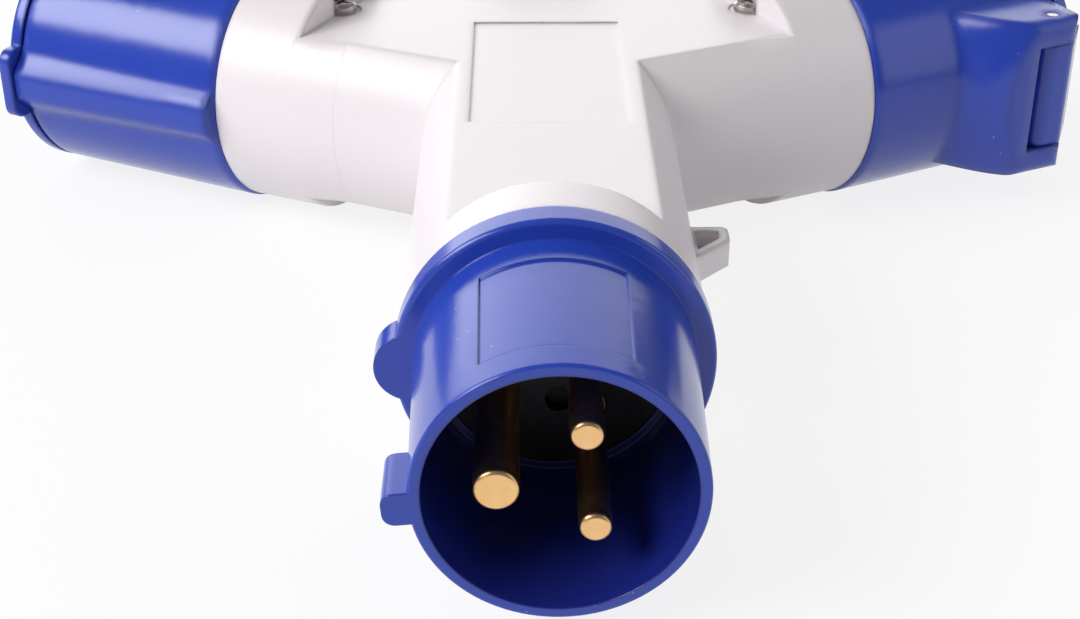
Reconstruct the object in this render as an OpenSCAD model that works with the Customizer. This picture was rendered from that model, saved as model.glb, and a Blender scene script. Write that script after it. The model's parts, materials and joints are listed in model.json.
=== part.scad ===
// Three-way pin and sleeve splitter: one plug with a shrouded set of pins,
// a white two-part body and three sockets with sprung lids.
// The plug's mouth is centred on the origin and the plug points along -Y.

/* [Layout] */
// Distance from the plug's mouth to the point where the arms' axes meet
hub_distance = 135; // [128:0.5:150]
// Turn of each side arm away from straight on, in degrees
side_arm_angle = 65.2; // [62:0.1:70]
// Turn of the plug about its own axis, in degrees
plug_turn = 5; // [0:0.5:8]

/* [Pins] */
// Radius of the circle that the three pins stand on
pin_circle_radius = 9.28; // [9:0.02:9.8]
// Diameter of the earth pin
earth_pin_diameter = 7; // [6:0.1:7.4]
// Diameter of the live and neutral pins
line_pin_diameter = 5; // [4:0.1:5.6]
// Distance of the pin tips behind the plug's mouth
pin_recess = 2.6; // [1:0.1:5]
// Rounding of the pin tips
pin_tip_radius = 0.8; // [0.3:0.1:1.2]

/* [Plug shroud] */
// Outer radius of the shroud at its mouth
shroud_mouth_radius = 22; // [21.6:0.05:22.4]
// Outer radius of the shroud where it meets the flange
shroud_base_radius = 22.9; // [22.5:0.05:23.2]
// Inner radius of the shroud
shroud_bore_radius = 20.14; // [19.6:0.02:20.4]
// Length of the shroud from its mouth to the flange
shroud_length = 36.7; // [34:0.1:40]
// Rounding of the shroud's rim
shroud_rim_radius = 0.5; // [0.2:0.1:0.7]
// Radius of the flange
flange_radius = 26.1; // [25.7:0.05:26.2]
// Thickness of the flange
flange_thickness = 5.7; // [5:0.1:6.5]
// Width of the key that sets which way round the plug goes in
key_width = 5.4; // [4:0.1:6]
// Height of the key above the shroud's mouth
key_height = 3.9; // [3:0.1:4.4]
// Length of the key along the shroud
key_length = 10.8; // [8:0.1:14]
// Radius of the rounded lug on the flange
flange_lug_radius = 6.1; // [5:0.1:7]
// Height of the flange's lug above its rim
flange_lug_height = 3.2; // [1.5:0.1:3.6]
// Turn of the flange's lug above the key, in degrees
flange_lug_turn = 4.5; // [0:0.5:8]
// Depth of the bare recessed panel on the shroud
shroud_panel_depth = 0.35; // [0.2:0.05:0.6]
// Angle that the shroud's panel covers, in degrees
shroud_panel_angle = 60; // [40:1:70]
// Length of the shroud's panel
shroud_panel_length = 25; // [18:0.5:27]
// Turn of the shroud's panel from the top of the plug, in degrees
shroud_panel_turn = 3.5; // [0:0.5:6]

/* [Body] */
// Radius of the trunk behind the plug
trunk_radius = 25.4; // [25.2:0.05:26]
// Length of the full-round collar at the front of the trunk
trunk_collar_length = 10.6; // [10:0.1:14]
// Radius of the arms
arm_radius = 24.6; // [24:0.1:25.2]
// Radius of the full-round collar that holds a socket
arm_collar_radius = 25.7; // [25.3:0.05:26]
// Distance from the hub to the step up to an arm's collar
collar_step = 47; // [44:0.5:49]
// Distance from the hub to the end of an arm
arm_length = 64.4; // [63:0.1:68]
// Height of the flat faces from the middle of the body
flat_height = 18; // [17.4:0.1:19]
// Thickness of the body's wall
body_wall = 2.6; // [2:0.1:3]
// Depth of the bare recessed panel on top of the body
body_panel_depth = 0.4; // [0.2:0.05:0.8]
// Width of the body's panel
body_panel_width = 30; // [20:0.5:32]
// Length of the body's panel
body_panel_length = 53; // [40:0.5:60]

/* [Retaining lug] */
// Reach of the lug that a lid hooks over, from the trunk's axis
lug_reach = 31.4; // [30:0.1:33]
// Distance of the lug's ramp behind the body's front
lug_setback = 21; // [14:0.5:26]
// Length of the lug along the trunk
lug_length = 12.8; // [11:0.1:16]
// Length of the lug's ramp
lug_ramp = 7.8; // [6:0.1:9]
// Height of the lug
lug_height = 5.2; // [4:0.1:7]

/* [Sockets] */
// Radius of a sleeve where it meets its arm
sleeve_base_radius = 26.2; // [25.9:0.05:26.4]
// Radius of a sleeve at its mouth
sleeve_mouth_radius = 25.4; // [25.3:0.05:25.8]
// Length of a sleeve from the arm to the floor of its cavity
sleeve_root_length = 12; // [11:0.1:15]
// Distance of the contact carrier's face behind the mouth
carrier_recess = 6; // [5.8:0.1:8]
// Wall around the groove that takes a plug's key
keyway_wall = 1.9; // [1.5:0.1:2.4]
// Wall of the contact tubes
contact_wall = 1.4; // [1.1:0.1:1.7]

/* [Lids] */
// Thickness of a lid
lid_thickness = 3.2; // [3:0.1:4.5]
// Half of the width of a lid's thumb tab
tab_half_width = 7.7; // [6:0.1:9]
// Reach of the thumb tab past the keyway
tab_overhang = 0.8; // [0.3:0.1:2]
// Radius of the lid's knuckle
knuckle_radius = 3.5; // [3.3:0.05:4]
// Radius of the hinge pin
hinge_pin_radius = 1.25; // [1.1:0.05:1.35]
// Distance of the hinge pin behind the mouth
hinge_setback = 8.5; // [8:0.1:10]
// Half of the height of the hinge block
hinge_half_height = 17.5; // [16:0.1:18.5]
// Half of the height of the gap between the hinge's ears
slot_half_height = 12; // [10:0.1:13]
// Width of the lid's sealing ring
seal_width = 1.8; // [1.2:0.1:1.9]

/* [Fits] */
// Gap between pieces that are fixed together
seat_gap = 0.15; // [0.1:0.01:0.2]
// Gap between pieces that move past each other
moving_gap = 0.4; // [0.3:0.05:0.6]
// Gap between the plug's flange and the front of the body
face_gap = 0.05; // [0.02:0.01:0.1]
// Running clearance between the hinge pin and the lid's knuckle
hinge_clearance = 0.06; // [0.03:0.01:0.1]
// Clearance between the hinge pin and its ears
pin_press_gap = 0.02; // [0.01:0.01:0.05]
// Radial clearance between a plug's pin and the contact that takes it
contact_clearance = 0.1; // [0.05:0.01:0.2]
// Clearance between a plug's shroud and the walls of a socket
shroud_clearance = 0.4; // [0.3:0.05:0.5]

/* [Hidden] */
$fn = 96;

blue = [0.16, 0.24, 0.72];
white = [0.95, 0.94, 0.95];
black = [0.06, 0.06, 0.07];
brass = [0.83, 0.64, 0.30];
steel = [0.70, 0.70, 0.72];
rubber = [0.20, 0.20, 0.21];
earth_green = [0.35, 0.55, 0.20];
live_brown = [0.42, 0.25, 0.14];
neutral_blue = [0.20, 0.35, 0.75];

left_turn = side_arm_angle;
right_turn = -side_arm_angle;
front_turn = 0;
arm_turns = [left_turn, right_turn, front_turn];

// A hair that carries a cut past the face it starts from
past = 1;

// Straight steps in a small rounding and in a wide one
corner_steps = 6;
round_steps = 12;

// The three ways round the pin circle, seen from the plug's mouth with the key on the left
earth_way = 180;
live_way = 60;
neutral_way = -60;
pin_ways = [earth_way, live_way, neutral_way];

// Spigots that the body's halves close around
plug_spigot_cover = 3;
plug_spigot_radius = trunk_radius - plug_spigot_cover;
socket_spigot_radius = 22.4;
spigot_wall = 1.6;
plug_spigot_bore = plug_spigot_radius - spigot_wall;
socket_spigot_bore = socket_spigot_radius - spigot_wall;
bead_height = 1.1;
bead_length = 2.4;
web_thickness = 2.6;
leg_half_width = 6;
leg_depth = 2.2;

// Plug, from its mouth towards the body
flange_back = shroud_length + flange_thickness;
body_front = flange_back + face_gap;
plug_face = shroud_length + seat_gap * 2;
plug_web_front = plug_face + seat_gap;
plug_web_back = plug_web_front + web_thickness;
plug_carrier_flange = 5;
plug_carrier_back = plug_web_back + plug_carrier_flange;
plug_bore_end = body_front + trunk_collar_length - body_wall;
web_lip = 1.4;
plug_web_hole = min(shroud_bore_radius, plug_spigot_bore) - web_lip;
bead_setback = 2.6;
flange_edge = 0.8;
flange_lug_place = flange_radius + flange_lug_height - flange_lug_radius;
key_corner = 1.9;
shroud_panel_start = 5.5;
pilot_radius = 2.2;
pilot_depth = 3;
pilot_drop = 6.6;
collar_edge = 0.5;
lug_wall = 1.7;
lug_corner = 1.5;

// Terminals behind the pins and the contacts
pin_shoulder = 0.4;
terminal_wall = 1.5;
bundle_radius = 3;
pin_terminal_radius = bundle_radius + terminal_wall;
wire_radius = 1.1;
wire_hole_radius = wire_radius + seat_gap;
wire_hole_depth = 8;
wire_sides = 8;
wire_steps = 6;
terminal_length = 13;
terminal_screw_radius = 1.5;
terminal_head_radius = 2.4;
terminal_head_height = 1.6;
terminal_screw_setback = 4;
terminal_slot_width = 0.7;
terminal_slot_depth = 0.7;
plug_terminal_front = plug_carrier_back + seat_gap;
plug_terminal_back = plug_terminal_front + terminal_length;
plug_screw_place = plug_terminal_back - terminal_screw_setback;

// Socket, along its arm's axis from the hub
collar_inner_step = 6.5;
socket_bore_start = collar_step + collar_inner_step;
socket_bead = arm_length - bead_setback - bead_length;
sleeve_floor = arm_length + sleeve_root_length;
sleeve_end_gap = 0.9;
mouth = sleeve_floor + shroud_length + sleeve_end_gap;
sleeve_bore = shroud_base_radius + shroud_clearance;
sleeve_rim = 0.9;
sleeve_foot = 0.8;
carrier_radius = shroud_bore_radius - shroud_clearance;
carrier_face = mouth - carrier_recess;
carrier_flange_length = 4;
carrier_flange_front = sleeve_floor - web_thickness - seat_gap;
carrier_flange_back = carrier_flange_front - carrier_flange_length;
carrier_lip = 1;
contact_front = carrier_face - carrier_lip - seat_gap;
pin_end_gap = 2;
contact_bore_end = mouth - shroud_length + pin_recess - pin_end_gap;
contact_tail = 21;
contact_back = contact_bore_end - contact_tail;
contact_collar = 0.9;
contact_collar_length = 3;
entry_clearance = 0.4;
entry_flare = 0.6;

// Groove and bulge for the key
groove_half_width = key_width / 2 + shroud_clearance;
groove_reach = shroud_mouth_radius + key_height + shroud_clearance;
bulge_half_width = groove_half_width + keyway_wall;
bulge_reach = groove_reach + keyway_wall;
bulge_flank = 6;

// Hinge
hinge_along = mouth - hinge_setback;
sleeve_slope = (sleeve_base_radius - sleeve_mouth_radius) / (mouth - arm_length);
sleeve_at_hinge = sleeve_mouth_radius + sleeve_slope * hinge_setback;
hinge_out = sleeve_at_hinge + moving_gap + knuckle_radius;
ear_cover = 0.7;
ear_corner = 2.2;
ear_end_gap = 3.4;
block_front = hinge_out + knuckle_radius + ear_cover;
block_end = mouth - ear_end_gap;
block_corner = 3;
slot_floor = hinge_out - knuckle_radius - moving_gap;
slot_back_gap = 2.1;
slot_back = hinge_along - knuckle_radius - slot_back_gap;
ramp_setback = 19.7;
ramp_start = hinge_along - ramp_setback;
ramp_length = 16.8;
ramp_lead = 0.65;
ramp_steps = 16;
knuckle_half_height = slot_half_height - moving_gap;
pocket_half_height = 5;
pocket_radius = 2.75;
spring_wire_radius = 0.35;
spring_slack = 0.25;
spring_radius = hinge_pin_radius + spring_wire_radius + spring_slack;
spring_turns = 6;
spring_sides = 6;
hinge_pin_recess = 0.1;

// Lid
lid_inner = mouth + moving_gap;
lid_outer = lid_inner + lid_thickness;
lid_edge = 1.2;
seal_depth = 1.9;
seal_proud = 0.1;
seal_outer = sleeve_mouth_radius - sleeve_rim;
seal_inner = seal_outer - seal_width;
tab_step = 0.8;
tab_thickness = lid_thickness - tab_step;
tab_corner = 3;
tab_reach = bulge_reach + tab_overhang;
arm_corner = 3;
arm_slope = 45;
latch_angle = 26;
latch_wall = 1.7;
latch_length = 4;
latch_outer = seal_inner - moving_gap;
dish_radius = 18.5;
dish_depth = 0.7;
dish_floor = lid_outer - dish_depth;

// Housing screws
screw_set_in = 0.6;
screw_place = collar_step + screw_set_in;
niche_radius = 4.2;
niche_depth = 0.3;
niche_floor = flat_height - niche_depth;
screw_radius = 1.5;
screw_head_radius = 3.1;
screw_head_height = 2.2;
screw_crown = 0.6;
screw_end = -11;
boss_radius = 3.2;
recess_width = 0.9;
recess_reach = 1.9;
recess_depth = 1.1;

function arc(place, radius, from, to, steps = corner_steps) =
    [for (i = [0:steps])
        let (angle = from + (to - from) * i / steps)
        place + radius * [cos(angle), sin(angle)]];

// Height of a smooth ramp at a share of its length
function ramp(share) = (1 - cos(180 * share)) / 2;

module on_arm(turn) {
    translate([0, hub_distance, 0])
        rotate([0, 0, turn])
            children();
}

module turned_plug() {
    rotate([0, -plug_turn, 0])
        children();
}

// Turns a shape that stands on Z so that it lies along Y
module along_y() {
    rotate([-90, 0, 0])
        children();
}

module revolved(points) {
    along_y()
        rotate_extrude()
            polygon(points);
}

module rod(radius, from, to) {
    translate([0, from, 0])
        along_y()
            cylinder(r = radius, h = to - from);
}

// A flat outline in X and Z, carried along Y
module prism(points, from, to) {
    translate([0, to, 0])
        rotate([90, 0, 0])
            linear_extrude(height = to - from)
                polygon(points);
}

// Moves a shape from the axis out to a pin's place on the pin circle
module at_pin(way) {
    rotate([0, -way, 0])
        translate([pin_circle_radius, 0, 0])
            children();
}

module spigot_outer(radius, start, end, seat) {
    rod(radius, start, end);
    rod(radius + bead_height, seat, seat + bead_length);
}

module spigot_room(radius, start, end, seat) {
    rod(radius + seat_gap, start, end);
    rod(radius + bead_height + seat_gap, seat - seat_gap, seat + bead_length + seat_gap);
}

// Two legs on a carrier that the body's inner step holds in place
module carrier_legs(bore, from, to) {
    outer = bore - seat_gap;
    intersection() {
        difference() {
            rod(outer, from, to);
            rod(outer - leg_depth, from - past, to + past);
        }
        translate([-leg_half_width, from - past, -outer])
            cube([leg_half_width * 2, to - from + past * 2, outer * 2]);
    }
}

module terminal_screw(axis_radius, hole_radius, along) {
    shank_start = hole_radius - seat_gap / 2;
    seat = axis_radius + seat_gap;
    slot_bottom = seat + terminal_head_height - terminal_slot_depth;
    slot_reach = terminal_head_radius + past;
    translate([0, along, 0])
        rotate([0, 90, 0])
            difference() {
                union() {
                    translate([0, 0, shank_start])
                        cylinder(r = terminal_screw_radius, h = seat - shank_start + past / 2);
                    translate([0, 0, seat])
                        cylinder(r = terminal_head_radius, h = terminal_head_height);
                }
                translate([-terminal_slot_width / 2, -slot_reach, slot_bottom])
                    cube([terminal_slot_width, slot_reach * 2, terminal_slot_depth + past]);
            }
}

module terminal_hole(axis_radius, along) {
    translate([0, along, 0])
        rotate([0, 90, 0])
            cylinder(r = terminal_screw_radius + seat_gap, h = axis_radius + past);
}

module body_outer() {
    intersection() {
        union() {
            rod(trunk_radius, body_front + trunk_collar_length / 2, hub_distance);
            for (turn = arm_turns)
                on_arm(turn)
                    rod(arm_radius, 0, arm_length - past);
        }
        translate([-hub_distance * 2, -hub_distance, -flat_height])
            cube([hub_distance * 4, hub_distance * 4, flat_height * 2]);
    }
    collar(trunk_radius, body_front, body_front + trunk_collar_length);
    for (turn = arm_turns)
        on_arm(turn)
            collar(arm_collar_radius, collar_step, arm_length);
}

// A full-round collar with rounded edges
module collar(radius, from, to) {
    edge = collar_edge;
    revolved(concat(
        [[0, from]],
        arc([radius - edge, from + edge], edge, -90, 0),
        arc([radius - edge, to - edge], edge, 0, 90),
        [[0, to]]
    ));
}

module body_inner() {
    room = flat_height - body_wall;
    intersection() {
        union() {
            rod(trunk_radius - body_wall, body_front + past, hub_distance);
            for (turn = arm_turns)
                on_arm(turn)
                    rod(arm_radius - body_wall, 0, socket_bore_start + past);
        }
        translate([-hub_distance * 2, -hub_distance, -room])
            cube([hub_distance * 4, hub_distance * 4, room * 2]);
    }
    spigot_room(plug_spigot_radius, body_front - past, plug_bore_end, body_front + bead_setback);
    for (turn = arm_turns)
        on_arm(turn)
            spigot_room(socket_spigot_radius, socket_bore_start, arm_length + past, socket_bead);
}

// The upper half keeps side 1 and the lower half keeps side -1
module body_half(side) {
    reach = hub_distance * 2;
    intersection() {
        difference() {
            body_outer();
            body_inner();
        }
        translate([-reach, 0, side > 0 ? 0 : -reach])
            cube([reach * 2, reach * 2, reach]);
    }
}

module screw_boss(from, to) {
    translate([0, screw_place, from])
        cylinder(r = boss_radius, h = to - from);
}

module retaining_lug() {
    root = trunk_radius - body_wall / 2;
    start = body_front + lug_setback;
    end = start + lug_length;
    slope = lug_ramp / (lug_reach - root);
    skin = lug_wall * sqrt(1 + slope * slope);
    hollow_start = start + slope * (trunk_radius - root) + skin;
    hollow_end = end - lug_wall;
    hollow_tip = min(lug_reach - lug_wall, trunk_radius + (hollow_end - hollow_start) / slope);
    difference() {
        linear_extrude(height = lug_height)
            polygon(concat(
                [[root, start], [lug_reach, start + lug_ramp]],
                arc([lug_reach - lug_corner, end - lug_corner], lug_corner, 0, 90),
                [[root, end]]
            ));
        translate([0, 0, lug_wall])
            linear_extrude(height = lug_height)
                polygon([[trunk_radius, hollow_start],
                    [hollow_tip, hollow_start + slope * (hollow_tip - trunk_radius)],
                    [hollow_tip, hollow_end], [trunk_radius, hollow_end]]);
    }
}

module body_upper_shell() {
    ceiling = flat_height - body_wall;
    panel_start = hub_distance + arm_radius / 2 - body_panel_length;
    color(white) difference() {
        union() {
            body_half(1);
            retaining_lug();
            for (turn = arm_turns)
                on_arm(turn)
                    screw_boss(0, ceiling + past);
        }
        for (turn = arm_turns)
            on_arm(turn)
                translate([0, screw_place, 0]) {
                    translate([0, 0, niche_floor])
                        cylinder(r = niche_radius, h = arm_collar_radius);
                    translate([0, 0, -past])
                        cylinder(r = screw_radius + seat_gap, h = niche_floor + past * 2);
                }
        translate([-body_panel_width / 2, panel_start, flat_height - body_panel_depth])
            cube([body_panel_width, body_panel_length, body_panel_depth + past]);
    }
}

module body_lower_shell() {
    room = flat_height - body_wall;
    color(white) difference() {
        union() {
            body_half(-1);
            for (turn = arm_turns)
                on_arm(turn)
                    screw_boss(-room - past, 0);
        }
        for (turn = arm_turns)
            on_arm(turn)
                translate([0, screw_place, screw_end - past])
                    cylinder(r = screw_radius + seat_gap, h = -screw_end + past * 2);
    }
}

module housing_screw() {
    difference() {
        union() {
            translate([0, 0, screw_end])
                cylinder(r = screw_radius, h = niche_floor - screw_end + past);
            translate([0, 0, niche_floor])
                rotate_extrude()
                    polygon([[0, 0], [screw_head_radius, 0],
                        [screw_head_radius, screw_head_height - screw_crown],
                        [screw_head_radius - screw_crown, screw_head_height], [0, screw_head_height]]);
        }
        for (quarter = [0, 90])
            rotate([0, 0, quarter])
                translate([-recess_reach, -recess_width / 2, niche_floor + screw_head_height - recess_depth])
                    cube([recess_reach * 2, recess_width, recess_depth + past]);
    }
}

module housing_screws() {
    color(brass)
        for (turn = arm_turns)
            on_arm(turn)
                translate([0, screw_place, 0])
                    housing_screw();
}

// Outline of the key, seen from the plug's mouth
function key_outline() =
    let (
        tip = -shroud_mouth_radius - key_height,
        half = key_width / 2,
        root = -shroud_bore_radius - past / 2
    )
    concat(
        [[root, -half]],
        [[root, half]],
        arc([tip + key_corner, half - key_corner], key_corner, 90, 180),
        arc([tip + key_corner, -half + key_corner], key_corner, 180, 270)
    );

module shroud_panel() {
    end = shroud_panel_start + shroud_panel_length;
    slope = (shroud_base_radius - shroud_mouth_radius) / shroud_length;
    floor_start = shroud_mouth_radius + slope * shroud_panel_start - shroud_panel_depth;
    floor_end = shroud_mouth_radius + slope * end - shroud_panel_depth;
    along_y()
        rotate([0, 0, shroud_panel_turn - 90 - shroud_panel_angle / 2])
            rotate_extrude(angle = shroud_panel_angle)
                polygon([[floor_start, shroud_panel_start], [shroud_base_radius + past, shroud_panel_start],
                    [shroud_base_radius + past, end], [floor_end, end]]);
}

module plug_shroud() {
    rim = shroud_rim_radius;
    outline = concat(
        [[0, 0]],
        arc([shroud_mouth_radius - rim, rim], rim, -90, 0),
        [[shroud_base_radius, shroud_length]],
        arc([flange_radius - flange_edge, shroud_length + flange_edge], flange_edge, -90, 0),
        arc([flange_radius - flange_edge, flange_back - flange_edge], flange_edge, 0, 90),
        [[0, flange_back]]
    );
    color(blue) turned_plug() difference() {
        union() {
            revolved(outline);
            spigot_outer(plug_spigot_radius, flange_back - past, plug_bore_end - seat_gap,
                body_front + bead_setback);
            prism(key_outline(), 0, key_length);
            translate([-cos(flange_lug_turn), 0, sin(flange_lug_turn)] * flange_lug_place)
                rod(flange_lug_radius, shroud_length, flange_back);
        }
        rod(shroud_bore_radius, -past, plug_web_front);
        rod(plug_web_hole, -past, plug_web_back + past);
        rod(plug_spigot_bore, plug_web_back, plug_bore_end + past);
        shroud_panel();
    }
}

module plug_pin_carrier() {
    color(black) turned_plug() difference() {
        union() {
            rod(plug_web_hole - seat_gap, plug_face, plug_web_back + past);
            rod(plug_spigot_bore - seat_gap, plug_web_back + seat_gap, plug_carrier_back);
            carrier_legs(plug_spigot_bore, plug_carrier_back - past, plug_bore_end - seat_gap);
        }
        for (way = pin_ways)
            at_pin(way)
                rod(pin_shoulder_radius(way) + seat_gap, plug_face - past, plug_carrier_back + past);
        translate([0, 0, -pilot_drop])
            rod(pilot_radius, plug_face - past, plug_face + pilot_depth);
    }
}

function pin_diameter(way) = way == earth_way ? earth_pin_diameter : line_pin_diameter;

function pin_shoulder_radius(way) = pin_diameter(way) / 2 + pin_shoulder;

module plug_pin(way) {
    radius = pin_diameter(way) / 2;
    shoulder = pin_shoulder_radius(way);
    terminal = pin_terminal_radius;
    outline = concat(
        [[0, pin_recess]],
        arc([radius - pin_tip_radius, pin_recess + pin_tip_radius], pin_tip_radius, -90, 0),
        [[radius, plug_face], [shoulder, plug_face], [shoulder, plug_terminal_front],
            [terminal, plug_terminal_front], [terminal, plug_terminal_back], [0, plug_terminal_back]]
    );
    color(brass) turned_plug() at_pin(way) difference() {
        revolved(outline);
        rod(bundle_radius, plug_terminal_back - wire_hole_depth, plug_terminal_back + past);
        terminal_hole(terminal, plug_screw_place);
    }
}

module plug_terminal_screws() {
    color(steel) turned_plug()
        for (way = pin_ways)
            at_pin(way)
                terminal_screw(pin_terminal_radius, bundle_radius, plug_screw_place);
}

// One flank of the sleeve's raised band over the key's groove, from its foot to its flat top
function bulge_side() =
    let (
        foot = bulge_half_width + bulge_flank / 2,
        skin = sleeve_mouth_radius * cos(asin(foot / sleeve_mouth_radius)) - seat_gap
    )
    [for (i = [0:round_steps])
        let (share = i / round_steps)
        [-skin - (bulge_reach - skin) * ramp(share), foot - bulge_flank * share]];

function bulge_outline() =
    let (
        side = bulge_side(),
        foot = side[0][1],
        last = len(side) - 1
    )
    concat(
        [[past - sleeve_bore, -foot], [past - sleeve_bore, foot]],
        side,
        [for (i = [0:last]) [side[last - i][0], -side[last - i][1]]]
    );

// Flare that lifts the hinge block out of the sleeve, from the arm's axis outwards
function flare_outline() =
    let (
        low = sleeve_mouth_radius,
        reach = norm([block_front, hinge_half_height])
    )
    concat(
        [[0, ramp_start], [low, ramp_start]],
        [for (i = [1:ramp_steps])
            let (share = i / ramp_steps)
            [low + (reach - low) * ramp(pow(share, ramp_lead)), ramp_start + ramp_length * share]],
        [[reach, mouth], [0, mouth]]
    );

// The hinge block seen from above, with a round outer end
function block_outline() = concat(
    [[0, ramp_start - past], [block_front, ramp_start - past]],
    arc([block_front - block_corner, block_end - block_corner], block_corner, 0, 90, round_steps),
    [[0, block_end]]
);

// The hinge block seen along the arm, with round outer corners
function block_section() =
    let (reach = block_front - ear_corner, half = hinge_half_height - ear_corner)
    concat(
        [[0, -hinge_half_height]],
        arc([reach, -half], ear_corner, -90, 0),
        arc([reach, half], ear_corner, 0, 90),
        [[0, hinge_half_height]]
    );

module sleeve() {
    base = sleeve_base_radius;
    rim = sleeve_rim;
    outer = concat(
        [[0, arm_length]],
        arc([base - sleeve_foot, arm_length + sleeve_foot], sleeve_foot, -90, 0),
        arc([sleeve_mouth_radius - rim, mouth - rim], rim, 0, 90),
        [[0, mouth]]
    );
    web_hole = carrier_radius + seat_gap;
    web_back = sleeve_floor - web_thickness;
    difference() {
        union() {
            revolved(outer);
            spigot_outer(socket_spigot_radius, socket_bore_start + seat_gap, arm_length + past, socket_bead);
            prism(bulge_outline(), arm_length + sleeve_foot, mouth);
            intersection() {
                revolved(flare_outline());
                prism(block_section(), ramp_start - past, mouth);
                linear_extrude(height = (hinge_half_height + past) * 2, center = true)
                    polygon(block_outline());
            }
        }
        revolved([[0, socket_bore_start - past], [socket_spigot_bore, socket_bore_start - past],
            [socket_spigot_bore, web_back], [web_hole, web_back], [web_hole, sleeve_floor],
            [sleeve_bore, sleeve_floor], [sleeve_bore, mouth + past], [0, mouth + past]]);
        translate([-groove_reach, sleeve_floor, -groove_half_width])
            cube([groove_reach, mouth - sleeve_floor + past, groove_half_width * 2]);
        translate([slot_floor, slot_back, -slot_half_height])
            cube([block_front, mouth, slot_half_height * 2]);
        translate([hinge_out, hinge_along, -hinge_half_height - past])
            cylinder(r = hinge_pin_radius + pin_press_gap, h = (hinge_half_height + past) * 2);
    }
}

function contact_bore(way) = pin_diameter(way) / 2 + contact_clearance;

module contact_carrier() {
    difference() {
        union() {
            rod(carrier_radius, carrier_flange_front - past, carrier_face);
            rod(socket_spigot_bore - seat_gap, carrier_flange_back, carrier_flange_front);
            carrier_legs(socket_spigot_bore, socket_bore_start + seat_gap, carrier_flange_back + past);
        }
        for (way = pin_ways) {
            entry = pin_diameter(way) / 2 + entry_clearance;
            flare = entry + entry_flare * (carrier_lip + past) / carrier_lip;
            room = contact_bore(way) + contact_wall + seat_gap;
            at_pin(way)
                revolved([[0, carrier_flange_back - past], [room, carrier_flange_back - past],
                    [room, contact_front + seat_gap], [entry, contact_front + seat_gap],
                    [flare, carrier_face + past], [0, carrier_face + past]]);
        }
    }
}

module contact(way) {
    bore = contact_bore(way);
    outer = bore + contact_wall;
    collar_front = carrier_flange_back - seat_gap;
    at_pin(way)
        difference() {
            union() {
                rod(outer, contact_back, contact_front);
                rod(outer + contact_collar, collar_front - contact_collar_length, collar_front);
            }
            rod(bore, contact_bore_end, contact_front + past);
            rod(wire_hole_radius, contact_back - past, contact_back + wire_hole_depth);
            terminal_hole(outer, contact_back + terminal_screw_setback);
        }
}

module terminal_screws() {
    for (way = pin_ways)
        at_pin(way)
            terminal_screw(contact_bore(way) + contact_wall, wire_hole_radius,
                contact_back + terminal_screw_setback);
}

// Outline of the thumb tab, seen along the arm
function tab_outline() = concat(
    [[-seal_inner, -tab_half_width], [-seal_inner, tab_half_width]],
    arc([-tab_reach + tab_corner, tab_half_width - tab_corner], tab_corner, 90, 180),
    arc([-tab_reach + tab_corner, -tab_half_width + tab_corner], tab_corner, 180, 270)
);

// Outline of the arm that joins the lid to its knuckle, seen from above
function lid_arm_outline() =
    let (
        inner = hinge_out - knuckle_radius,
        outer = hinge_out + knuckle_radius,
        root = dish_radius + past,
        edge = sleeve_mouth_radius - lid_edge / 2,
        knee = lid_outer - (outer - edge) / tan(arm_slope)
    )
    concat(
        [[inner, hinge_along], [inner, lid_inner], [root, lid_inner], [root, lid_outer]],
        [[edge, lid_outer]],
        arc([outer - arm_corner, knee - arm_corner * tan(arm_slope / 2)], arm_corner, arm_slope, 0),
        [[outer, hinge_along]]
    );

module lid() {
    edge = lid_edge;
    radius = sleeve_mouth_radius;
    groove_back = lid_inner + seal_depth;
    latch_inner = latch_outer - latch_wall;
    latch_end = lid_inner - latch_length;
    disc = concat(
        [[0, lid_inner], [seal_inner - seat_gap, lid_inner], [seal_inner - seat_gap, groove_back],
            [seal_outer + seat_gap, groove_back], [seal_outer + seat_gap, lid_inner], [radius, lid_inner]],
        arc([radius - edge, lid_outer - edge], edge, 0, 90),
        [[dish_radius, lid_outer], [dish_radius - dish_depth, dish_floor], [0, dish_floor]]
    );
    difference() {
        union() {
            revolved(disc);
            difference() {
                prism(tab_outline(), lid_inner, lid_inner + tab_thickness);
                rod(radius - seat_gap, lid_inner - past, lid_outer);
            }
            difference() {
                linear_extrude(height = knuckle_half_height * 2, center = true)
                    polygon(lid_arm_outline());
                rod(radius - seat_gap, lid_inner - past, lid_inner + seal_depth);
            }
            translate([hinge_out, hinge_along, -knuckle_half_height])
                cylinder(r = knuckle_radius, h = knuckle_half_height * 2);
            along_y()
                rotate([0, 0, 180 - latch_angle / 2])
                    rotate_extrude(angle = latch_angle)
                        polygon([[latch_inner, latch_end], [latch_outer, latch_end],
                            [latch_outer, lid_inner + past], [latch_inner, lid_inner + past]]);
        }
        translate([hinge_out, hinge_along, -knuckle_half_height - past])
            cylinder(r = hinge_pin_radius + hinge_clearance, h = (knuckle_half_height + past) * 2);
        translate([hinge_out, hinge_along, -pocket_half_height]) {
            cylinder(r = pocket_radius, h = pocket_half_height * 2);
            translate([-knuckle_radius - past, -pocket_radius, 0])
                cube([knuckle_radius + past, pocket_radius * 2, pocket_half_height * 2]);
        }
    }
}

module lid_seal() {
    revolved([[seal_inner, lid_inner - seal_proud], [seal_outer, lid_inner - seal_proud],
        [seal_outer, lid_inner + seal_depth - seat_gap], [seal_inner, lid_inner + seal_depth - seat_gap]]);
}

module hinge_pin() {
    half = hinge_half_height - hinge_pin_recess;
    translate([hinge_out, hinge_along, -half])
        cylinder(r = hinge_pin_radius, h = half * 2);
}

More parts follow.
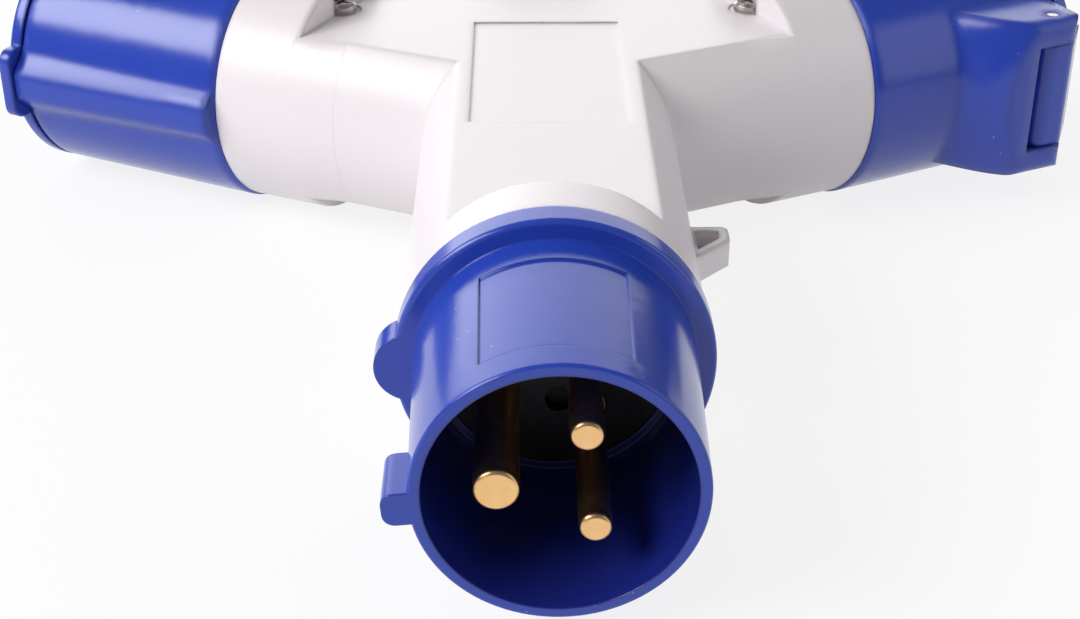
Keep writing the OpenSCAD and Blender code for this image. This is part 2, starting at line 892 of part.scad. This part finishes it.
// A closed tube of round section along a list of points, with flat ends
function tube_rings(points, radius, sides) =
    let (last = len(points) - 1)
    [for (i = [0:last])
        let (
            ahead = points[min(i + 1, last)] - points[max(i - 1, 0)],
            way = ahead / norm(ahead),
            side = cross(way, abs(way[2]) < 0.9 ? [0, 0, 1] : [1, 0, 0]),
            across = side / norm(side),
            up = cross(across, way)
        )
        for (k = [0:sides - 1])
            points[i] + radius * (cos(360 * k / sides) * across + sin(360 * k / sides) * up)];

module tube(points, radius, sides) {
    rings = len(points);
    last = (rings - 1) * sides;
    polyhedron(
        points = tube_rings(points, radius, sides),
        faces = concat(
            [[for (k = [0:sides - 1]) k]],
            [for (i = [0:rings - 2]) for (k = [0:sides - 1])
                let (next = (k + 1) % sides)
                each [[i * sides + next, i * sides + k, (i + 1) * sides + k],
                    [i * sides + next, (i + 1) * sides + k, (i + 1) * sides + next]]],
            [[for (k = [sides - 1:-1:0]) last + k]]
        )
    );
}

module hinge_spring() {
    steps = spring_turns * round_steps;
    rise = (pocket_half_height - spring_wire_radius * 2) * 2;
    coil = [for (i = [0:steps])
        let (angle = 360 * i / round_steps)
        [spring_radius * cos(angle), spring_radius * sin(angle), rise * i / steps]];
    translate([hinge_out, hinge_along, -rise / 2])
        tube(coil, spring_wire_radius, spring_sides);
}

// A smooth path through hand-set points
function blend(a, b, c, d, t) =
    0.5 * (2 * b + (c - a) * t + (2 * a - 5 * b + 4 * c - d) * t * t + (3 * b - a - 3 * c + d) * t * t * t);

function smooth_path(points, steps) =
    let (last = len(points) - 1)
    concat(
        [for (i = [0:last - 1]) for (k = [0:steps - 1])
            blend(points[max(i - 1, 0)], points[i], points[i + 1], points[min(i + 2, last)], k / steps)],
        [points[last]]
    );

function turned(point, turn) = [
    point[0] * cos(turn) - point[1] * sin(turn),
    hub_distance + point[0] * sin(turn) + point[1] * cos(turn),
    point[2]
];

function pin_place(way, extra) =
    [pin_circle_radius * cos(way + extra), 0, pin_circle_radius * sin(way + extra)];

// One wire from a plug terminal to the same contact of one socket
module wire(way, turn, spread) {
    at_plug = pin_place(way, plug_turn) + [spread[0], 0, spread[1]];
    at_socket = pin_place(way, 0);
    beside_boss = (at_socket[0] < 0 ? -1 : 1) * max(abs(at_socket[0]), boss_radius + wire_radius * 2);
    inside = wire_hole_depth - past;
    tube(smooth_path([
        [at_plug[0], plug_terminal_back - inside, at_plug[2]],
        [at_plug[0], plug_terminal_back + wire_radius * 3, at_plug[2]],
        [at_plug[0] + spread[0] * 2, (plug_terminal_back + hub_distance) / 2, at_plug[2]],
        turned([beside_boss, collar_step / 2, at_socket[2] + spread[1]], turn),
        turned([beside_boss, screw_place, at_socket[2]], turn),
        turned([at_socket[0], contact_back - wire_radius, at_socket[2]], turn),
        turned([at_socket[0], contact_back + inside, at_socket[2]], turn)
    ], wire_steps), wire_radius, wire_sides);
}

// Three wires leave each plug terminal side by side, one for each socket
module wires(way) {
    spacing = bundle_radius - wire_radius - seat_gap;
    spreads = [for (angle = [210, 330, 90]) [cos(angle), sin(angle)] * spacing];
    for (i = [0:len(arm_turns) - 1])
        wire(way, arm_turns[i], spreads[i]);
}

module earth_wires() color(earth_green) wires(earth_way);

module live_wires() color(live_brown) wires(live_way);

module neutral_wires() color(neutral_blue) wires(neutral_way);

module socket_piece(name, turn) {
    on_arm(turn) {
        if (name == "sleeve")
            color(blue) sleeve();
        if (name == "contact_carrier")
            color(black) contact_carrier();
        if (name == "earth_contact")
            color(brass) contact(earth_way);
        if (name == "live_contact")
            color(brass) contact(live_way);
        if (name == "neutral_contact")
            color(brass) contact(neutral_way);
        if (name == "terminal_screws")
            color(steel) terminal_screws();
        if (name == "lid")
            color(blue) lid();
        if (name == "lid_seal")
            color(rubber) lid_seal();
        if (name == "hinge_pin")
            color(brass) hinge_pin();
        if (name == "hinge_spring")
            color(steel) hinge_spring();
    }
}

body_upper_shell();
body_lower_shell();
housing_screws();
plug_shroud();
plug_pin_carrier();
plug_pin(earth_way);  // earth_pin
plug_pin(live_way);  // live_pin
plug_pin(neutral_way);  // neutral_pin
plug_terminal_screws();
earth_wires();
live_wires();
neutral_wires();
for (piece = ["sleeve", "contact_carrier", "earth_contact", "live_contact", "neutral_contact",
    "terminal_screws", "lid", "lid_seal", "hinge_pin", "hinge_spring"]) {
    socket_piece(piece, left_turn);
    socket_piece(piece, right_turn);
    socket_piece(piece, front_turn);
}
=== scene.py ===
import json
import math

import bpy
import numpy as np
from mathutils import Matrix, Vector


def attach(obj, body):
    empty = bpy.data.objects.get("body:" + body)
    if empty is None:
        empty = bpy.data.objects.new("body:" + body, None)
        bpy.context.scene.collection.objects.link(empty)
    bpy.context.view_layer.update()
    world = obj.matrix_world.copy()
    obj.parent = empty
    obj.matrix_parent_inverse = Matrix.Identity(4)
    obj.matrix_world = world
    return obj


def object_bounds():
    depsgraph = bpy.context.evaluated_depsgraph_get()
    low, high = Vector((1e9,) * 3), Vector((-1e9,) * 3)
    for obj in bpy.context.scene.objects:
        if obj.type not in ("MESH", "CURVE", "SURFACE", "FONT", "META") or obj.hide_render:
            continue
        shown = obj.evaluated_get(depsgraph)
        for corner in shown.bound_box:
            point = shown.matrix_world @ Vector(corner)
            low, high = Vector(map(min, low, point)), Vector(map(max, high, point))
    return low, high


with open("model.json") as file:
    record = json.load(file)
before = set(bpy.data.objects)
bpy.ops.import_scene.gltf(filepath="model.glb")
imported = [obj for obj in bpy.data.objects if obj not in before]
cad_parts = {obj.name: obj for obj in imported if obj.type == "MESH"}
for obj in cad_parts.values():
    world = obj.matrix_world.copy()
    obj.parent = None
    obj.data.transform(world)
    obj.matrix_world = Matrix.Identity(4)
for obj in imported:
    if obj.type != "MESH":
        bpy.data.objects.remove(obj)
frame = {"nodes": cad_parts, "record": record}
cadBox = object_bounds()
nodes = frame["nodes"]
mounts = {mount["name"]: mount for mount in frame["record"]["mounts"]}
sides = ("left", "right", "front")
ways = ("earth", "live", "neutral")
mm = 0.001
print("frame loaded:", len(nodes), "CAD nodes")

noiseMiddle = 0.5  # what a noise gives on average
edgeSamples = 6  # rays that a soft edge is worked out from
white = (1, 1, 1, 1)
mixSockets = {"RGBA": (6, 7, 2), "VECTOR": (4, 5, 1)}  # a Mix node's two inputs and its result, for each kind


# A shader value that takes part in plain sums: a + b, 1 - a and the like add their Math nodes
class Wire:
    def __init__(self, finish, socket):
        self.finish = finish
        self.socket = socket

    def __add__(self, other):
        return self.finish.maths("ADD", self, other)

    def __sub__(self, other):
        return self.finish.maths("SUBTRACT", self, other)

    def __rsub__(self, other):
        return self.finish.maths("SUBTRACT", other, self)

    def __mul__(self, other):
        return self.finish.maths("MULTIPLY", self, other)

    __radd__ = __add__
    __rmul__ = __mul__


# A node tree under construction, for a material or the world
class Finish:
    def __init__(self, owner):
        self.owner = owner
        owner.use_nodes = True
        self.tree = owner.node_tree
        self.tree.nodes.clear()

    # Every node comes from here: its type, its settings first, then the values or links of its sockets
    def node(self, kind, settings=None, sockets=None, output=0):
        made = self.tree.nodes.new("ShaderNode" + kind)
        for name, value in (settings or {}).items():
            setattr(made, name, value)
        for name, value in (sockets or {}).items():
            if isinstance(value, Wire):
                self.tree.links.new(value.socket, made.inputs[name])
            else:
                made.inputs[name].default_value = value
        return Wire(self, made.outputs[output]) if made.outputs else made

    def maths(self, operation, *values):
        return self.node("Math", {"operation": operation}, dict(enumerate(values)))

    def vector(self, operation, *values, output=0):
        return self.node("VectorMath", {"operation": operation}, dict(enumerate(values)), output)

    # Object coordinates, counted from a centre where one is given
    def place(self, centre=None):
        spot = self.node("TexCoord", output="Object")
        if centre is None:
            return spot
        return self.node("Mapping", None, {"Vector": spot, "Location": [-c for c in centre]})

    def noise(self, spot, scale, detail, roughness=0.5):
        sockets = {"Vector": spot, "Scale": scale, "Detail": detail, "Roughness": roughness}
        return self.node("TexNoise", None, sockets)

    # Smooth rise from 0 at one value to 1 at another, or a fall where the first is the larger
    def rise(self, value, low, high):
        sockets = {"Value": value, "From Min": low, "From Max": high}
        return self.node("MapRange", {"interpolation_type": "SMOOTHSTEP"}, sockets)

    def mix(self, kind, factor, first, second):
        firstInput, secondInput, result = mixSockets[kind]
        sockets = {0: factor, firstInput: first, secondInput: second}
        return self.node("Mix", {"data_type": kind}, sockets, result)

    def mixColour(self, factor, first, second):
        ends = [end if isinstance(end, Wire) else (*end, 1) for end in (first, second)]
        return self.mix("RGBA", factor, *ends)

    def softEdges(self, radius):
        return self.node("Bevel", {"samples": edgeSamples}, {"Radius": radius})

    def bump(self, height, distance, strength, normal):
        sockets = {"Height": height, "Distance": distance, "Strength": strength, "Normal": normal}
        return self.node("Bump", None, sockets)

    def principled(self, **sockets):
        shader = self.node("BsdfPrincipled", None, {name.replace("_", " "): v for name, v in sockets.items()})
        self.node("OutputMaterial", None, {"Surface": shader})
        return self.owner


def newFinish(name):
    return Finish(bpy.data.materials.new(name))


# Painted shade: the wall of the plug's bore, told by its distance from the plug's axis, is painted darker
# than the shroud's outside. The darker colour stands in for the shade inside the bore, and the plastic there
# is the same.
def paintedBoreShade(f, spot, colour, look):
    flat = f.vector("MULTIPLY", spot, (1, 0, 1))
    outer = f.rise(f.vector("LENGTH", flat, output="Value"), *look["paintedBoreShadeEdge"])
    return f.mixColour(outer, look["paintedBoreShadeColour"], colour)


# A few specks of dust: one cell in many holds a small pale spot
def dust(f, spot, colour, look):
    cell = {"Vector": spot, "Scale": look["dustScale"]}
    near = f.rise(f.node("TexVoronoi", None, cell, output="Distance"), *look["dustSize"])
    chosen = f.rise(f.node("TexVoronoi", None, cell, output="Color"), *look["dustChoice"])
    return f.mixColour(near * chosen * look["dustShare"], colour, look["dustColour"])


# Moulded plastic: a slow drift of colour and gloss, a fine skin, and edges that the mould left round
def mouldedPlastic(name, look, shape=None):
    f = newFinish(name)
    spot = f.place()
    drift = f.noise(spot, look["driftScale"], detail=3.0)
    skin = f.noise(spot, look["skinScale"], detail=4.0)
    peel = f.noise(spot, look["peelScale"], detail=1.0)
    height = peel * look["peelShare"] + skin * (1 - look["peelShare"])
    normal = f.softEdges(look["edgeRadius"])
    if shape:
        normal = shape(f, spot, normal)
    colour = f.mixColour(drift, look["dark"], look["light"])
    if "dustColour" in look:
        colour = dust(f, spot, colour, look)
    # painted shade: where the look asks for it, the bore's wall takes a darker colour that stands in for the
    # shade inside it
    if "paintedBoreShadeColour" in look:
        colour = paintedBoreShade(f, spot, colour, look)
    skinGloss = (skin - noiseMiddle) * look["roughnessSpread"]
    driftGloss = (drift - noiseMiddle) * look["roughnessDrift"]
    return f.principled(
        Base_Color=colour,
        Roughness=look["roughness"] + skinGloss + driftGloss,
        IOR=look["ior"],
        Normal=f.bump(height, look["skinDepth"], strength=0.6, normal=normal),
    )


blueLook = {
    "dark": (0.018, 0.048, 0.390),
    "light": (0.025, 0.068, 0.490),
    "driftScale": 28.0,
    "skinScale": 2400.0,
    "peelScale": 320.0,
    "peelShare": 0.7,
    "skinDepth": 0.06 * mm,
    "roughness": 0.17,
    "roughnessSpread": 0.05,
    "roughnessDrift": 0.06,
    "ior": 1.52,
    "edgeRadius": 0.5 * mm,
    "dustColour": (0.55, 0.58, 0.70),
    "dustScale": 420.0,
    "dustSize": (0.085, 0.051),
    "dustChoice": (0.76, 0.78),
    "dustShare": 0.55,
}
shroudPlastic = mouldedPlastic("shroudPlastic", {
    **blueLook,
    # painted shade: a darker colour on the wall of the bore, up to this distance from the plug's axis
    "paintedBoreShadeColour": (0.013, 0.024, 0.240),
    "paintedBoreShadeEdge": (20.16 * mm, 20.5 * mm),
})
lidPlastic = mouldedPlastic("lidPlastic", {**blueLook, "edgeRadius": 1.2 * mm})
sleevePlastic = mouldedPlastic("sleevePlastic", {**blueLook, "edgeRadius": 3.5 * mm})

# Each arm's axis runs through the middle of its socket's contacts. The left one reaches x = 0 at the hub.
armAxes = [np.array(mounts[side + "_earth_contact"]["axis"]) for side in sides]
leftMiddle = np.mean([mounts[f"left_{way}_contact"]["pos_m"] for way in ways], axis=0)
hub = leftMiddle - armAxes[0] * leftMiddle[0] / armAxes[0][0]

# The two halves of the white body close so well that the joint hardly shows, least of all on the round arms.
# Each pair gives the value at which a change begins and the one at which it is complete.
jointLook = {
    "joint": (1.2 * mm, 2.2 * mm),  # height over the joint at which the soft edges set in
    "top": (17.4 * mm, 15.5 * mm),  # height, under the flat faces, at which an arm's round form sets in
    "start": (18 * mm, 23 * mm),  # distance from the hub at which it sets in
    "end": (64.0 * mm, 62.8 * mm),  # and at which it ends, by the collar's rim
    "lead": (0.5 * mm, 4 * mm),  # how much further a point lies along this arm than along the others
    "radius": 24.2 * mm,  # a face nearer to the arm's axis is an inner one
}


# By the joint the normal is the face's own, with no soft edge. On a round arm it points straight out from the
# arm's axis, so that both halves shade as one piece.
def closedJoint(f, spot, edge):
    look = jointLook
    face = f.node("NewGeometry", output="Normal")
    height = f.maths("ABSOLUTE", f.node("SeparateXYZ", None, {"Vector": spot}, output="Z"))
    normal = f.mix("VECTOR", f.rise(height, *look["joint"]), face, edge)
    below = f.rise(height, *look["top"])
    fromHub = f.vector("SUBTRACT", spot, hub)
    reach = [f.vector("DOT_PRODUCT", fromHub, axis, output="Value") for axis in armAxes]
    for axis, along in zip(armAxes, reach):
        lead = along - f.maths("MAXIMUM", *[other for other in reach if other is not along])
        foot = f.node("VectorMath", {"operation": "SCALE"}, {0: axis, "Scale": along})
        outward = f.vector("SUBTRACT", fromHub, foot)
        outside = f.maths("GREATER_THAN", f.vector("LENGTH", outward, output="Value"), look["radius"])
        share = f.rise(along, *look["start"]) * f.rise(along, *look["end"]) * below * outside
        share = share * f.rise(lead, *look["lead"])
        normal = f.mix("VECTOR", share, normal, f.vector("NORMALIZE", outward))
    return normal


whitePlastic = mouldedPlastic("whitePlastic", {
    "dark": (0.80, 0.750, 0.775),
    "light": (0.86, 0.807, 0.834),
    "driftScale": 16.0,
    "skinScale": 1900.0,
    "peelScale": 420.0,
    "peelShare": 0.35,
    "skinDepth": 0.09 * mm,
    "roughness": 0.34,
    "roughnessSpread": 0.10,
    "roughnessDrift": 0.05,
    "ior": 1.5,
    "edgeRadius": 2.2 * mm,
}, closedJoint)
blackPlastic = mouldedPlastic("blackPlastic", {
    "dark": (0.006, 0.006, 0.009),
    "light": (0.011, 0.011, 0.015),
    "driftScale": 40.0,
    "skinScale": 2100.0,
    "peelScale": 500.0,
    "peelShare": 0.3,
    "skinDepth": 0.10 * mm,
    "roughness": 0.42,
    "roughnessSpread": 0.12,
    "roughnessDrift": 0.04,
    "ior": 1.5,
    "edgeRadius": 0.3 * mm,
})
sealRubber = mouldedPlastic("sealRubber", {
    "dark": (0.022, 0.022, 0.024),
    "light": (0.035, 0.035, 0.038),
    "driftScale": 60.0,
    "skinScale": 1500.0,
    "peelScale": 600.0,
    "peelShare": 0.2,
    "skinDepth": 0.15 * mm,
    "roughness": 0.72,
    "roughnessSpread": 0.15,
    "roughnessDrift": 0.05,
    "ior": 1.48,
    "edgeRadius": 0.25 * mm,
})
print("plastics made")


# Turned metal: fine rings about the piece's own axis, and a light tarnish in patches
def turnedMetal(name, look, centre=None):
    f = newFinish(name)
    spot = f.place(centre)
    rings = f.node("TexWave", {"wave_type": "RINGS", "rings_direction": "Y"},
                   {"Vector": spot, "Scale": look["ringScale"], "Distortion": 0.6, "Detail": 2.0})
    patches = f.noise(spot, look["patchScale"], detail=4.0, roughness=0.6)
    fine = f.noise(spot, look["fineScale"], detail=3.0)
    height = rings * look["ringShare"] + fine * (1 - look["ringShare"])
    return f.principled(
        Base_Color=f.mixColour(patches, look["dark"], look["light"]),
        Metallic=1.0,
        Roughness=look["roughness"] + (patches - noiseMiddle) * look["roughnessSpread"],
        Normal=f.bump(height, look["ringDepth"], strength=0.5, normal=f.softEdges(look["edgeRadius"])),
    )


brassLook = {
    "dark": (0.70, 0.40, 0.15),
    "light": (1.00, 0.67, 0.34),
    "ringScale": 900.0,
    "ringShare": 0.5,
    "ringDepth": 0.03 * mm,
    "patchScale": 260.0,
    "fineScale": 3000.0,
    "roughness": 0.30,
    "roughnessSpread": 0.12,
    "edgeRadius": 0.25 * mm,
}
steelLook = {
    "dark": (0.42, 0.42, 0.43),
    "light": (0.62, 0.62, 0.64),
    "ringScale": 1200.0,
    "ringShare": 0.5,
    "ringDepth": 0.02 * mm,
    "patchScale": 300.0,
    "fineScale": 3500.0,
    "roughness": 0.28,
    "roughnessSpread": 0.10,
    "edgeRadius": 0.15 * mm,
}
platedLook = {**steelLook, "dark": (0.44, 0.41, 0.40), "light": (0.66, 0.62, 0.61)}
brass = turnedMetal("brass", brassLook)
steel = turnedMetal("steel", steelLook)
platedBrass = turnedMetal("platedBrass", platedLook)


# Insulation: a soft plain colour, or stripes along the wire for earth
def insulation(name, look):
    f = newFinish(name)
    spot = f.place()
    drift = f.noise(spot, look["driftScale"], detail=2.0)
    share = drift
    if "stripeScale" in look:
        stripes = f.node("TexWave", {"wave_type": "BANDS", "bands_direction": "Z"},
                         {"Vector": spot, "Scale": look["stripeScale"], "Distortion": 0.4})
        low, high = look["stripeEdge"]
        share = f.node("MapRange", None, {"Value": stripes, "From Min": low, "From Max": high})
    return f.principled(
        Base_Color=f.mixColour(share, look["dark"], look["light"]),
        Roughness=look["roughness"] + (drift - noiseMiddle) * look["roughnessSpread"],
    )


wireLook = {"driftScale": 120.0, "roughness": 0.38, "roughnessSpread": 0.1}
earthInsulation = insulation("earthInsulation", {
    **wireLook,
    "dark": (0.03, 0.20, 0.03),
    "light": (0.62, 0.56, 0.03),
    "stripeScale": 180.0,
    "stripeEdge": (0.45, 0.55),
})
liveInsulation = insulation("liveInsulation", {
    **wireLook,
    "dark": (0.090, 0.036, 0.014),
    "light": (0.130, 0.052, 0.020),
})
neutralInsulation = insulation("neutralInsulation", {
    **wireLook,
    "dark": (0.02, 0.09, 0.38),
    "light": (0.03, 0.13, 0.48),
})
print("metals and insulation made")


# Each CAD node takes its finish by the record's material slot, and some then get one of their own
slotFinish = {
    "blue_plastic": lidPlastic,
    "white_plastic": whitePlastic,
    "black_plastic": blackPlastic,
    "brass": brass,
    "steel": steel,
    "rubber": sealRubber,
    "earth_insulation": earthInsulation,
    "live_insulation": liveInsulation,
    "neutral_insulation": neutralInsulation,
}


def dress(piece, material):
    piece.data.materials.clear()
    piece.data.materials.append(material)


for part in frame["record"]["subparts"]:
    dress(nodes[part["node"]], slotFinish[part["material_slot"]])
for side in sides:
    dress(nodes[side + "_hinge_pin"], platedBrass)
    dress(nodes[side + "_sleeve"], sleevePlastic)
dress(nodes["housing_screws"], platedBrass)
dress(nodes["plug_shroud"], shroudPlastic)
for way in ways:
    pinName = way + "_pin"  # the rings go round each pin's own axis
    dress(nodes[pinName], turnedMetal(way + "PinBrass", brassLook, mounts[pinName]["pos_m"]))
print("CAD nodes dressed")


def newObject(name, data):
    made = bpy.data.objects.new(name, data)
    bpy.context.scene.collection.objects.link(made)
    return made


def newPiece(name, points, quads, material):
    mesh = bpy.data.meshes.new(name)
    mesh.from_pydata(points.reshape(-1, 3).tolist(), [], quads.tolist())
    piece = newObject(name, mesh)
    dress(piece, material)
    return piece


# The four corners of each face in a grid of points
def gridQuads(rows, columns):
    index = np.arange(rows * columns).reshape(rows, columns)
    corners = [index[:-1, :-1], index[1:, :-1], index[1:, 1:], index[:-1, 1:]]
    return np.stack(corners, -1).reshape(-1, 4)


# Soft sweep from each round arm up to its collar, on both sides of the body and between its flat faces
sweepLook = {
    "armRadius": 24.6 * mm,
    "collarRadius": 25.7 * mm,
    "end": 47.8 * mm,  # distance from the hub to the collar's step
    "length": 11 * mm,
    "flat": 17.99 * mm,  # height of the flat faces, less a hair
    "proud": 0.02 * mm,
    "sink": 0.4 * mm,
    "rows": 17,
    "columns": 41,
}


# The points go along the arm by a share s of the length and round its axis by an angle. The radius goes from
# the arm's to the collar's as 3 s^2 - 2 s^3, and the angle ends where the circle meets the flat faces. There
# one more column runs level into the arm's wall and closes the edge.
def collarSweep(axis, hand, look):
    across = hand * np.array([axis[1], -axis[0], 0])
    share = np.linspace(0, 1, look["rows"])[:, None]
    along = look["end"] - look["length"] * (1 - share)
    rise = share * share * (3 - 2 * share)
    radius = look["armRadius"] + (look["collarRadius"] - look["armRadius"]) * rise + look["proud"]
    angle = np.arcsin(look["flat"] / radius) * np.linspace(-1, 1, look["columns"])
    inner = math.sqrt((look["armRadius"] - look["sink"]) ** 2 - look["flat"] ** 2)
    out = np.pad(radius * np.cos(angle), ((0, 0), (1, 1)), constant_values=inner)
    up = np.pad(radius * np.sin(angle), ((0, 0), (1, 1)), mode="edge")
    return hub + along[..., None] * axis + out[..., None] * across + up[..., None] * np.array([0, 0, 1])


def makeSweeps(look):
    rows, columns = look["rows"], look["columns"] + 2
    places = [(axis, hand) for axis in armAxes for hand in (1, -1)]
    points = [collarSweep(axis, hand, look) for axis, hand in places]
    corners = gridQuads(rows, columns)
    quads = [corners[:, ::hand] + i * rows * columns for i, (axis, hand) in enumerate(places)]
    piece = newPiece("collar_sweeps", np.concatenate(points), np.concatenate(quads), whitePlastic)
    smooth = np.ones((rows - 1, columns - 1), bool)
    smooth[:, [0, -1]] = False  # the narrow strips that close a sweep at the flat faces
    piece.data.polygons.foreach_set("use_smooth", np.tile(smooth.ravel(), len(places)))
    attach(piece, "splitter")


makeSweeps(sweepLook)
print("collar sweeps made")


# Pale floor under the lowest point: white to the eye and in reflections, with a trace of the object's shadow
floorLook = {
    "halfSize": 4.0,
    "lines": 9,
    "clearance": 0.02 * mm,
    "colour": (0.95, 0.95, 0.95, 1),
    "shadowShare": 0.16,
}


def floorPaint(look):
    f = newFinish("floorWhite")
    shown = f.node("LightPath", output="Is Camera Ray")
    for ray in ("Is Glossy Ray", "Is Transmission Ray"):
        shown = f.maths("MAXIMUM", shown, f.node("LightPath", output=ray))
    paint = f.node("BsdfDiffuse", None, {"Color": look["colour"]})
    glow = f.node("Emission", None, {"Color": white, "Strength": 1.0})
    mix = f.node("MixShader", None, {0: shown * (1 - look["shadowShare"]), 1: paint, 2: glow})
    f.node("OutputMaterial", None, {"Surface": mix})
    return f.owner


# A flat square grid at the floor's level
def makeFloor(look):
    line = np.linspace(-look["halfSize"], look["halfSize"], look["lines"])
    x, y = np.meshgrid(line, line, indexing="ij")
    points = np.stack([x, y, np.full_like(x, cadBox[0].z - look["clearance"])], -1)
    floor = newPiece("floor", points, gridQuads(look["lines"], look["lines"]), floorPaint(look))


makeFloor(floorLook)


# Soft studio light: a key high on the left, a back panel that fades to the right, and a dim one on the right
lampLook = {
    "keyBox": {
        "place": (-0.86, -0.24, 0.73),
        "aim": (0, 0.10, 0),
        "size": (1.05, 0.46),
        "watts": 13.4,
        "spread": 180,
    },
    "backBox": {
        "place": (0.02, 0.95, 0.36),
        "aim": (0.236, 0.014, 0.36),
        "size": (1.20, 0.72),
        "watts": 2.8,
        "spread": 114,
    },
    "sideBox": {
        "place": (1.15, 0.00, 0.50),
        "aim": (0, 0.10, 0.05),
        "size": (1.20, 0.90),
        "watts": 4.0,
        "spread": 180,
    },
}


def makeLamp(name, look):
    data = bpy.data.lights.new(name, "AREA")
    data.shape = "RECTANGLE"
    data.size, data.size_y = look["size"]
    data.energy = look["watts"]
    data.spread = math.radians(look["spread"])
    lamp = newObject(name, data)
    lamp.location = look["place"]
    away = Vector(look["place"]) - Vector(look["aim"])
    lamp.rotation_euler = away.to_track_quat("Z", "Y").to_euler()


for lampName, boxLook in lampLook.items():
    makeLamp(lampName, boxLook)

# The world's own light is low, and the eye sees it white
worldLook = {"level": 0.17, "background": 1.0}


def makeWorld(look):
    world = bpy.data.worlds.new("studio")
    bpy.context.scene.world = world
    f = Finish(world)
    eye = f.node("LightPath", output="Is Camera Ray")
    level = eye * (look["background"] - look["level"]) + look["level"]
    sky = f.node("Background", None, {"Color": white, "Strength": level})
    f.node("OutputWorld", None, {"Surface": sky})


makeWorld(worldLook)
print("floor and light made")


# Camera at the photograph's viewing angle, fitted to the plug's shroud and the arms
cameraLook = {
    "azimuth": -1.473,
    "elevation": 29.954,
    "roll": 0.337,
    "distance": 294.22 * mm,
    "target": (1.533 * mm, 43.098 * mm, 0.860 * mm),
    "sensor": 36.0,
    "lens": 59.90,
    "shift": (-0.02237, 0.02963),
    "nearest": 1 * mm,
}


def makeCamera(look):
    a = math.radians(look["azimuth"])
    e = math.radians(look["elevation"])
    r = math.radians(look["roll"])
    back = Vector((math.sin(a) * math.cos(e), -math.cos(a) * math.cos(e), math.sin(e)))
    level = Vector((0, 0, 1)).cross(back).normalized()
    rise = back.cross(level)
    right = level * math.cos(r) + rise * math.sin(r)
    up = rise * math.cos(r) - level * math.sin(r)
    data = bpy.data.cameras.new("camera")
    data.sensor_width = look["sensor"]
    data.lens = look["lens"]
    data.shift_x, data.shift_y = look["shift"]
    data.clip_start = look["nearest"]
    camera = newObject("camera", data)
    turn = Matrix((right, up, back)).transposed().to_4x4()
    camera.matrix_world = Matrix.Translation(Vector(look["target"]) + back * look["distance"]) @ turn
    bpy.context.scene.camera = camera


makeCamera(cameraLook)
bpy.context.scene.view_settings.view_transform = "Standard"
print("camera made")
